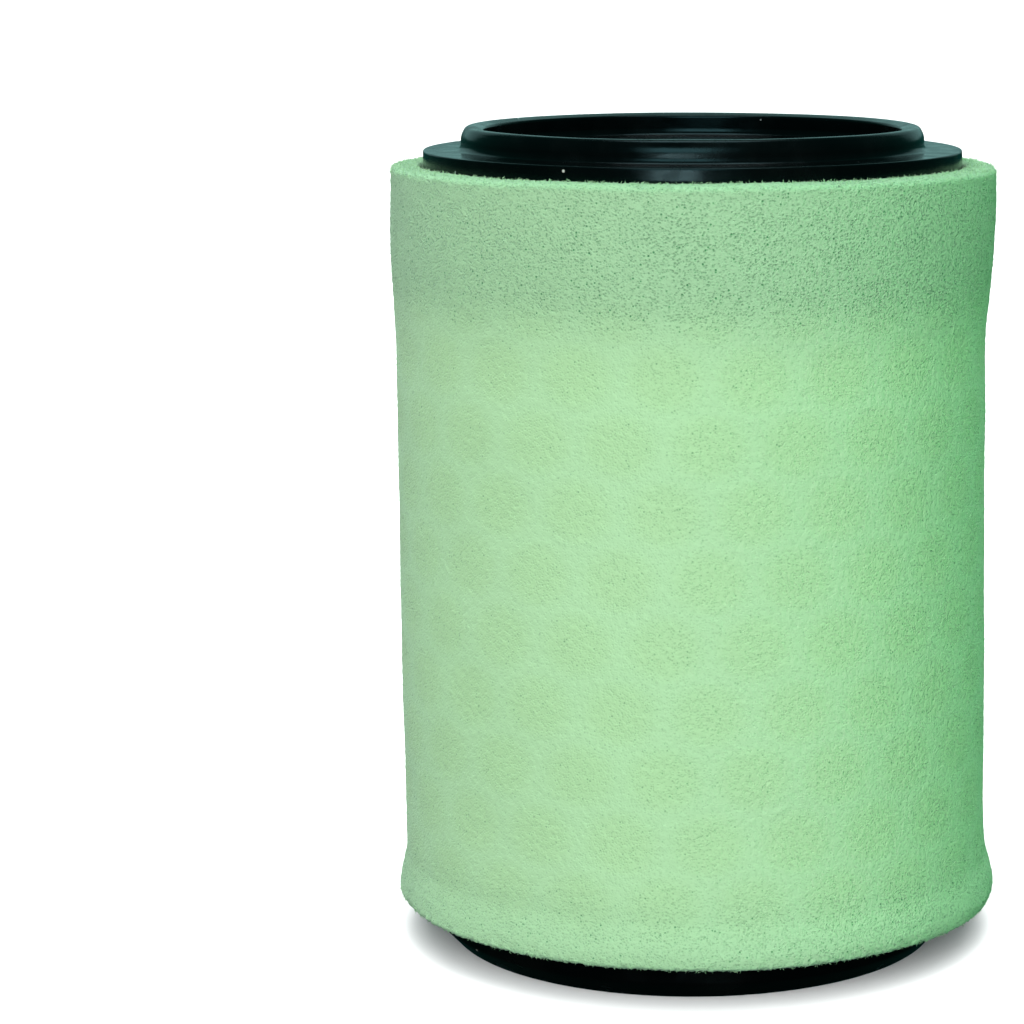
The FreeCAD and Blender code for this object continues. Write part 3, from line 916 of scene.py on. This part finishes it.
def make_bottom_cap(rubber):
    """Lower cap: cup outline carried round and closed at the axis, with the raised mark pressed out."""
    low, high = span("bottom_end_cap")
    wall = radii("bottom_end_cap", high - 3.0, high)[1] - 0.02
    inside = radii("bottom_potting")[1]
    floor = span("bottom_potting")[0]
    corners = [
        (HUB_R, floor), (HUB_R, low + RECESS_D), (RECESS_R, low + RECESS_D), (RECESS_R + RECESS_D, low),
        (BASE_R, low), (EDGE_R, low + EDGE_H), (wall, high), (inside, high), (inside, floor),
    ]
    outline = softened(corners, [0.05, 0.05, 0.4, 0.4, 0.5, 0.35, 0.45, 0.2, 0.3], 6)
    mark_low, mark_high = low + MARK_LOW, high - MARK_HIGH
    extra = np.linspace(mark_low - 0.4, mark_high + 0.4, 60)
    outline = insert_heights(outline, (EDGE_R, low + EDGE_H + 0.5), (wall - 0.02, high - 0.7), extra)
    reach = 1.3 * MARK_HALF / MARK_R
    near = np.linspace(MARK_TURN - reach, MARK_TURN + reach, 90)
    angles = np.unique(np.concatenate([even_angles(rubber.segments) - math.pi, near]))

    def push(radius, angle, height):
        across = (angle - MARK_TURN) * MARK_R
        away = np.abs(across)
        mark = step_down(away, MARK_HALF) * step_up(height, mark_low) * step_down(height, mark_high)
        groove = np.exp(-((height - (mark_high - 4.3)) / 0.16) ** 2) * step_down(away, 1.7)
        line = np.exp(-(across + 2.9) ** 2 / 0.02) * step_up(height, mark_low)
        raised = MARK_T * mark - 0.15 * groove * mark + 0.12 * line
        return radius + np.where(radius > inside + 0.3, raised + waves(angle, 0.03, 44), 0.0), height

    piece = turned("bottom_end_cap", outline, angles, push)
    close_axis(piece, HUB_R)
    return piece


def insert_heights(outline, start, end, heights):
    """Adds evenly graded points on the straight side of an outline between two of its points."""
    outer = outline[:, 0] > start[0] - 0.4
    keep = ~(outer & (outline[:, 1] > start[1] + 0.2) & (outline[:, 1] < end[1] - 0.2))
    share = (heights - start[1]) / (end[1] - start[1])
    side = np.stack([start[0] + share * (end[0] - start[0]), heights], axis=1)
    kept = outline[keep]
    at = int(np.argmax((kept[:, 1] > start[1] + 0.2) & (kept[:, 0] > start[0] - 0.4)))
    return np.concatenate([kept[:at], side, kept[at:]])


def close_axis(piece, hub):
    """Draws the small ring left round the axis together into one point on each side."""
    mesh = bmesh.new()
    mesh.from_mesh(piece.data)
    near = [v for v in mesh.verts if math.hypot(v.co.x, v.co.y) < hub * 1.6 * MM]
    for vertex in near:
        vertex.co.x = 0.0
        vertex.co.y = 0.0
    bmesh.ops.remove_doubles(mesh, verts=near, dist=0.01 * MM)
    bmesh.ops.dissolve_degenerate(mesh, dist=0.001 * MM, edges=mesh.edges)
    mesh.to_mesh(piece.data)
    mesh.free()


class FILTER_OT_caps(bpy.types.Operator):
    """Moulded rubber caps at both ends"""
    bl_idname = "filter.caps"
    bl_label = "End caps"

    def execute(self, context):
        rubber = context.scene.filter_rubber
        finish = rubber_material(rubber)
        finish_piece(make_top_cap(rubber), finish, "cartridge", "black_rubber", "top_end_cap")
        finish_piece(make_bottom_cap(rubber), finish, "cartridge", "black_rubber", "bottom_end_cap")
        return {"FINISHED"}


def make_top_potting(rubber):
    """Ring of compound: fills the groove and shows as an uneven step under the flange."""
    low, high = span("top_potting")
    core, outside = radii("top_potting")
    screen = radii("outer_screen")[0] + SHEET
    pack = span("outer_screen")[1]
    corners = [
        (core, pack), (screen, pack), (screen + 0.02, low), (outside - 0.35, low), (outside, low + 0.9),
        (outside, high), (core, high),
    ]
    outline = softened(corners, [0.1, 0.1, 0.1, 0.3, 0.3, 0.1, 0.1])

    def push(radius, angle, height):
        edge = (height < low + 1.0) & (radius > screen - 0.2)
        return radius, height + np.where(edge, waves(angle, 0.28, 51, 5, 70), 0.0)

    return turned("top_potting", outline, even_angles(rubber.segments * 2), push)


def make_bottom_potting(rubber, steel):
    """Compound in the cup: its upper edge climbs the wrap between holes and dips across them."""
    low, high = span("bottom_potting")
    inner, outside = radii("bottom_potting")
    screen = radii("outer_screen")[0] + SHEET
    pack = span("outer_screen")[0]
    rim = span("bottom_end_cap")[1]
    corners = [
        (inner, low), (outside, low), (outside, rim - 0.4), (outside - 0.45, high), (screen + 0.02, high),
        (screen, pack), (inner, pack),
    ]
    outline = softened(corners, [0.1, 0.1, 0.2, 0.22, 0.15, 0.1, 0.1])
    pitch = TURN / steel.outer_holes

    def push(radius, angle, height):
        edge = np.clip((height - rim + 1.0) / (high - rim), 0.0, 1.0)
        turn = np.mod(angle - steel.first_angle + pitch / 2, pitch) - pitch / 2
        dip = np.exp(-(turn * screen / 3.6) ** 4)
        ragged = waves(angle, 0.45, 52, 8, 90) + waves(angle, 0.25, 53, 40, 160)
        return radius, height + edge * (np.clip(ragged, -0.9, 1.2) - 1.35 * dip + 0.2)

    return turned("bottom_potting", outline, even_angles(rubber.segments * 3), push)


class FILTER_OT_potting(bpy.types.Operator):
    """Casting compound that bonds the pack into both caps"""
    bl_idname = "filter.potting"
    bl_label = "Potting compound"

    def execute(self, context):
        rubber, steel = context.scene.filter_rubber, context.scene.filter_steel
        finish = compound_material(rubber)
        upper, lower = make_top_potting(rubber), make_bottom_potting(rubber, steel)
        finish_piece(upper, finish, "cartridge", "potting_compound", "top_potting")
        finish_piece(lower, finish, "cartridge", "potting_compound", "bottom_potting")
        return {"FINISHED"}


# ---------------------------------------------------------------- perforated sheets

TILE_ACROSS = 8            # steps along the upper and lower side of one hole's tile
TILE_UP = 6                # steps along its left and right side
HOLE_EDGE = 0.13           # rounding of the punched edges, in millimetres
ROLL_IN = 0.34             # width of the ring round a hole that stays even


def tile_border(width, height):
    """Points round a rectangle, counted the same way as the circle inside it."""
    x, y = width / 2, height / 2
    right = np.stack([np.full(TILE_UP, x), np.linspace(-y, y, TILE_UP + 1)[:-1]], axis=1)
    upper = np.stack([np.linspace(x, -x, TILE_ACROSS + 1)[:-1], np.full(TILE_ACROSS, y)], axis=1)
    return np.concatenate([right, upper, -right, -upper])


def hole_tile(width, height, hole_r):
    """One flat tile with its round hole, as rings of points with the depth below the outer face."""
    border = tile_border(width, height)
    bearing = np.arctan2(border[:, 1], border[:, 0])
    circle = np.stack([np.cos(bearing), np.sin(bearing)], axis=1)
    steps = [
        (None, 0.0), (hole_r + ROLL_IN, 0.0), (hole_r + HOLE_EDGE, 0.0),
        (hole_r + HOLE_EDGE * 0.3, HOLE_EDGE * 0.3), (hole_r, HOLE_EDGE), (hole_r, SHEET - HOLE_EDGE),
        (hole_r + HOLE_EDGE, SHEET), (None, SHEET),
    ]
    rings = np.stack([border if reach is None else circle * reach for reach, _ in steps])
    depth = np.broadcast_to(np.array([down for _, down in steps])[:, None, None], (*rings.shape[:2], 1))
    return np.concatenate([rings, depth], axis=2)


def perforated_sheet(name, outer_r, low, high, holes, rows, steel, lap=0.0):
    """Rolled sheet with staggered round holes.

    Flat tiles, one per hole, are drawn as rings between a rectangle and a circle, on the
    outer face, through the rounded edge of the hole and back on the inner face. Plain
    bands close the ends. The flat sheet is then rolled: angle is distance over radius.
    """
    width = TURN / holes * outer_r
    row_pitch = width * math.sqrt(3) / 2
    first_row = steel.first_row / MM
    start = steel.first_angle * outer_r
    tile = hole_tile(width, row_pitch, steel.hole / MM / 2)
    row, hole = np.meshgrid(np.arange(rows), np.arange(holes), indexing="ij")
    across = (hole + 0.5 * (row % 2)).ravel() * width + start
    up = first_row + row.ravel() * row_pitch
    shift = np.stack([across, up, 0.0 * up], axis=1)
    points = (tile[None] + shift[:, None, None]).reshape(-1, 3)
    rings, border = tile.shape[:2]
    first = (np.arange(rows * holes) * rings * border)[:, None, None]
    faces = (grid_quads(rings, border, False, True)[None] + first).reshape(-1, 4)

    band = np.arange(holes * TILE_ACROSS) * (width / TILE_ACROSS) + start - width / 2
    for near, far in ((first_row - row_pitch / 2, low), (first_row + (rows - 0.5) * row_pitch, high)):
        strip = np.empty((4, len(band), 3))
        strip[..., 0] = band
        strip[..., 1] = np.array([near, far, far, near])[:, None]
        strip[..., 2] = np.array([0.0, 0.0, SHEET, SHEET])[:, None]
        cells = grid_quads(4, len(band), False, True)
        if far > near:
            cells = cells[:, ::-1]
        faces = np.concatenate([faces, cells + len(points)])
        points = np.concatenate([points, strip.reshape(-1, 3)])

    angle = points[:, 0] / outer_r
    radius = outer_r - points[:, 2]
    if lap:
        behind = np.abs(np.mod(angle, TURN) - math.pi) * outer_r
        clear = (points[:, 1] > low + 15) * (points[:, 1] < high - 3)
        radius = radius + SHEET * step_down(behind, lap / 2, 0.12) * clear
    piece = build(name, placed(radius, angle, points[:, 1]), faces)
    weld(piece)
    return piece


def weld(piece):
    """Joins the points that neighbouring tiles share, and turns every face outwards."""
    mesh = bmesh.new()
    mesh.from_mesh(piece.data)
    bmesh.ops.remove_doubles(mesh, verts=mesh.verts, dist=0.004 * MM)
    bmesh.ops.recalc_face_normals(mesh, faces=mesh.faces)
    mesh.to_mesh(piece.data)
    mesh.free()


class FILTER_OT_sheets(bpy.types.Operator):
    """Perforated steel wrap and inner core"""
    bl_idname = "filter.sheets"
    bl_label = "Perforated sheets"

    def execute(self, context):
        steel = context.scene.filter_steel
        finish = zinc_material(steel)
        low, high = span("outer_screen")
        wrap_r = radii("outer_screen")[0] + SHEET
        holes, rows = steel.outer_holes, steel.rows
        wrap = perforated_sheet("outer_screen", wrap_r, low, high, holes, rows, steel, LAP_W)
        finish_piece(wrap, finish, "cartridge", "galvanised_sheet", "outer_screen")
        low, high = span("inner_core")
        core_r = radii("inner_core")[0] + SHEET
        core_pitch = TURN * core_r / steel.core_holes * math.sqrt(3) / 2
        rows = int((high - 6.0 - steel.first_row / MM) / core_pitch) + 1
        core = perforated_sheet("inner_core", core_r, low, high, steel.core_holes, rows, steel)
        finish_piece(core, finish, "cartridge", "galvanised_sheet", "inner_core")
        return {"FINISHED"}


# ---------------------------------------------------------------- pleated paper

PLEAT_STEPS = 16           # steps along one pleat
FOLD_SHARP = 0.992         # nearer to 1 gives a sharper fold

def make_pleats(paper):
    """Pleated ring: radius follows a rounded triangle wave of the angle, with small waves up each pleat.

    The two faces are the middle line moved half a sheet along its normal each way.
    """
    low, high = span("pleated_media")
    inner, outer = radii("pleated_media")
    half = paper.sheet / MM / 2
    phase = np.arange(paper.pleats * PLEAT_STEPS) * TURN / PLEAT_STEPS
    wave = np.arcsin(FOLD_SHARP * np.cos(phase)) / math.asin(FOLD_SHARP)
    middle, swing = (outer + inner) / 2, (outer - inner) / 2 - half
    rng = np.random.default_rng(61)
    jitter = np.repeat(rng.normal(0.0, 1.0, paper.pleats), PLEAT_STEPS)
    tilt = np.repeat(rng.normal(0.0, 1.0, paper.pleats), PLEAT_STEPS)
    z = np.linspace(low, high, 26)[:, None]
    rise = (z - low) / (high - low)
    ease = np.sin(math.pi * np.clip(rise, 0, 1)) ** 0.5
    sway = (0.0035 * jitter[None] * np.sin(2.2 * z / 17.0 + tilt[None]) + 0.0022 * tilt[None]) * ease
    angle = (phase / paper.pleats)[None] + sway * (0.5 + 0.5 * wave[None])
    radius = middle + swing * wave[None] - 0.25 * np.abs(jitter[None]) * (wave[None] > 0.8) * ease
    centre = placed(radius, angle, z + 0 * angle)
    ahead = np.roll(centre, -1, axis=1) - np.roll(centre, 1, axis=1)
    normal = np.stack([ahead[..., 1], -ahead[..., 0], 0 * ahead[..., 0]], axis=-1)
    normal /= np.linalg.norm(normal, axis=-1, keepdims=True)
    loop = np.concatenate([centre + normal * half, (centre - normal * half)[::-1]])
    return build("pleated_media", loop.reshape(-1, 3), grid_quads(len(loop), len(phase), True, True))


class FILTER_OT_paper(bpy.types.Operator):
    """Pleated filter paper, and the glue bead that closes it"""
    bl_idname = "filter.paper"
    bl_label = "Pleated paper"

    def execute(self, context):
        paper = context.scene.filter_paper
        finish_piece(make_pleats(paper), paper_material(paper), "cartridge", "filter_paper", "pleated_media")
        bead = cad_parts["media_seam_bead"]
        bead.data.materials.clear()
        bead.data.materials.append(glue_material(paper))
        bpy.data.collections[FILL_REACH].objects.link(bead)
        return {"FINISHED"}


# ---------------------------------------------------------------- stage

WARM = (1.0, 0.74, 0.76)
ROSE = (1.0, 0.66, 0.64)
TEAL = (0.6, 1.0, 1.0)
MINT = (0.03, 1.0, 0.15)

# Name, place as degrees from the front, metres out and metres up, height aimed at, width and
# height, watts, tint, and what it reaches (None is everything)
LAMPS = (
    ("front light", (-6, 1.5, 0.75), 0.07, (0.9, 0.8), 12.2, WHITE, None),
    ("top light", (0, 0.0, 2.6), 0.07, (1.5, 1.5), 34.0, WHITE, None),
    ("backdrop light", (180, 2.2, 0.95), 0.25, (4.0, 1.5), 32.3, WHITE, FILL_REACH),
    ("cap backdrop light", (180, 2.2, 0.95), 0.25, (4.0, 1.5), 9.0, TEAL, CAP_REACH),
    ("front left light", (-38, 1.5, 0.75), 0.07, (0.8, 0.8), 6.4, WARM, FILL_REACH),
    ("front right light", (38, 1.5, 0.75), 0.07, (0.8, 0.8), 1.0, WHITE, FILL_REACH),
    ("low front light", (0, 1.5, 0.12), 0.05, (1.6, 0.2), 8.2, WHITE, FILL_REACH),
    ("right light", (95, 1.5, 0.3), 0.07, (1.2, 1.0), 6.9, MINT, SLEEVE_REACH),
    ("back left light", (-120, 1.5, 0.7), 0.07, (0.8, 1.0), 8.2, WHITE, FILL_REACH),
    ("cap front light", (-7, 1.5, 0.035), 0.07, (0.36, 0.06), 7.5, ROSE, CAP_REACH),
)
FLOOR_LAMPS = (("floor light", 2.6, 0.0), ("front floor light", 4.6, 60.0))    # name, strength, tilt
FLOOR_LAMP_WIDTH = math.radians(70.0)
FLOOR_HALF = 40.0          # metres from the middle of the floor to its edge


def aimed(thing, place, target):
    """Puts a lamp or camera at a place, looking at a target."""
    thing.location = place
    thing.rotation_euler = (Vector(target) - Vector(place)).to_track_quat("-Z", "Y").to_euler()


def new_lamp(name, kind, power, reach):
    """Lamp in the scene; reach names the collection it lights, or is None for everything."""
    data = bpy.data.lights.new(name, kind)
    data.energy = power
    lamp = bpy.data.objects.new(name, data)
    bpy.context.scene.collection.objects.link(lamp)
    if reach:
        lamp.light_linking.receiver_collection = bpy.data.collections[reach]
    return lamp


def soft_light(name, place, aim, size, power, tint, reach):
    """Rectangular studio light standing round the cartridge."""
    lamp = new_lamp(name, "AREA", power, reach)
    lamp.data.shape = "RECTANGLE"
    lamp.data.size, lamp.data.size_y = size
    lamp.data.color = tint
    degrees, out, up = place
    angle = math.radians(degrees)
    aimed(lamp, (out * math.sin(angle), -out * math.cos(angle), up), (0.0, 0.0, aim))


def floor_light(name, power, tilt):
    """Wide light that reaches only the floor, so the floor is evenly pale; tilt leans it to the front."""
    lamp = new_lamp(name, "SUN", power, FLOOR_REACH)
    lamp.data.angle = FLOOR_LAMP_WIDTH
    lamp.rotation_euler.x = math.radians(tilt)


def make_camera(stage):
    """Camera in front of the cartridge, a little above it, with the frame shifted sideways."""
    camera = bpy.data.objects.new("camera", bpy.data.cameras.new("camera"))
    bpy.context.scene.collection.objects.link(camera)
    camera.data.lens = stage.lens
    camera.data.sensor_width = 36.0
    camera.data.shift_x = stage.shift_x
    camera.data.shift_y = stage.shift_y
    camera.data.clip_start = 0.01
    away = stage.distance * math.cos(stage.elevation)
    above = stage.distance * math.sin(stage.elevation)
    aimed(camera, (0.0, -away, stage.target + above), (0.0, 0.0, stage.target))
    return camera


def make_floor(stage):
    """Large flat floor; it gives no bounced light and isn't mirrored in the pieces."""
    corners = FLOOR_HALF * np.array([[-1, -1, 0], [1, -1, 0], [1, 1, 0], [-1, 1, 0]]) / MM
    floor = build("floor", corners, [[0, 1, 2, 3]])
    floor.data.materials.append(floor_material(stage))
    floor.visible_diffuse = False
    floor.visible_glossy = False
    bpy.data.collections[FLOOR_REACH].objects.link(floor)
    return floor


def make_room(stage):
    """Room round the scene: white behind everything, and a dim tint, fading downwards, as light."""
    world = bpy.data.worlds.new("studio")
    world.use_nodes = True
    room = Net(world.node_tree)
    seen = room.add("ShaderNodeLightPath").outputs["Is Camera Ray"]
    heading = room.add("ShaderNodeSeparateXYZ")
    room.join(room.add("ShaderNodeTexCoord").outputs["Generated"], heading.inputs[0])
    above = room.ranged(heading.outputs["Z"], -0.3, 0.1, 0.15, 1.0)
    dim = tuple(stage.ambient * part for part in stage.surround)
    lit = room.mixed(above, (0.0, 0.0, 0.0), dim)
    room.join(room.mixed(seen, lit, WHITE), world.node_tree.nodes["Background"].inputs["Color"])
    return world


class FILTER_OT_stage(bpy.types.Operator):
    """Pale floor, soft lights and the camera"""
    bl_idname = "filter.stage"
    bl_label = "Stage"

    def execute(self, context):
        scene = context.scene
        stage = scene.filter_stage
        for reach in (FILL_REACH, CAP_REACH, SLEEVE_REACH, FLOOR_REACH):
            bpy.data.collections.new(reach)
        scene.camera = make_camera(stage)
        floor = make_floor(stage)
        for lamp in LAMPS:
            soft_light(*lamp)
        for lamp in FLOOR_LAMPS:
            floor_light(*lamp)
        scene.world = make_room(stage)
        scene.view_settings.view_transform = "Standard"
        return {"FINISHED"}


# ---------------------------------------------------------------- add-on

OPERATORS = (
    FILTER_OT_stage, FILTER_OT_sheets, FILTER_OT_paper, FILTER_OT_potting, FILTER_OT_caps, FILTER_OT_foam)
SETTINGS = {
    "filter_foam": FoamSettings,
    "filter_rubber": RubberSettings,
    "filter_steel": SteelSettings,
    "filter_paper": PaperSettings,
    "filter_stage": StageSettings,
}


class FILTER_PT_panel(bpy.types.Panel):
    """Buttons for each group of pieces"""
    bl_label = "Air Filter Cartridge"
    bl_idname = "FILTER_PT_panel"
    bl_space_type = "VIEW_3D"
    bl_region_type = "UI"
    bl_category = "Filter"

    def draw(self, context):
        for operator in OPERATORS:
            self.layout.operator(operator.bl_idname)
        for name in SETTINGS:
            box = self.layout.box()
            box.label(text=SETTINGS[name].__doc__)
            for key in SETTINGS[name].__annotations__:
                box.prop(getattr(context.scene, name), key)


def register():
    for settings in SETTINGS.values():
        bpy.utils.register_class(settings)
    for name, settings in SETTINGS.items():
        setattr(bpy.types.Scene, name, PointerProperty(type=settings))
    for operator in OPERATORS:
        bpy.utils.register_class(operator)
    bpy.utils.register_class(FILTER_PT_panel)


def unregister():
    bpy.utils.unregister_class(FILTER_PT_panel)
    for operator in reversed(OPERATORS):
        bpy.utils.unregister_class(operator)
    for name in SETTINGS:
        delattr(bpy.types.Scene, name)
    for settings in reversed(list(SETTINGS.values())):
        bpy.utils.unregister_class(settings)


def main():
    """Builds everything in order."""
    register()
    for make_group in (cells_group, specks_group, grain_group):
        make_group()
    for step in ("stage", "sheets", "paper", "potting", "caps", "foam"):
        getattr(bpy.ops.filter, step)()


if __name__ == "__main__":
    main()
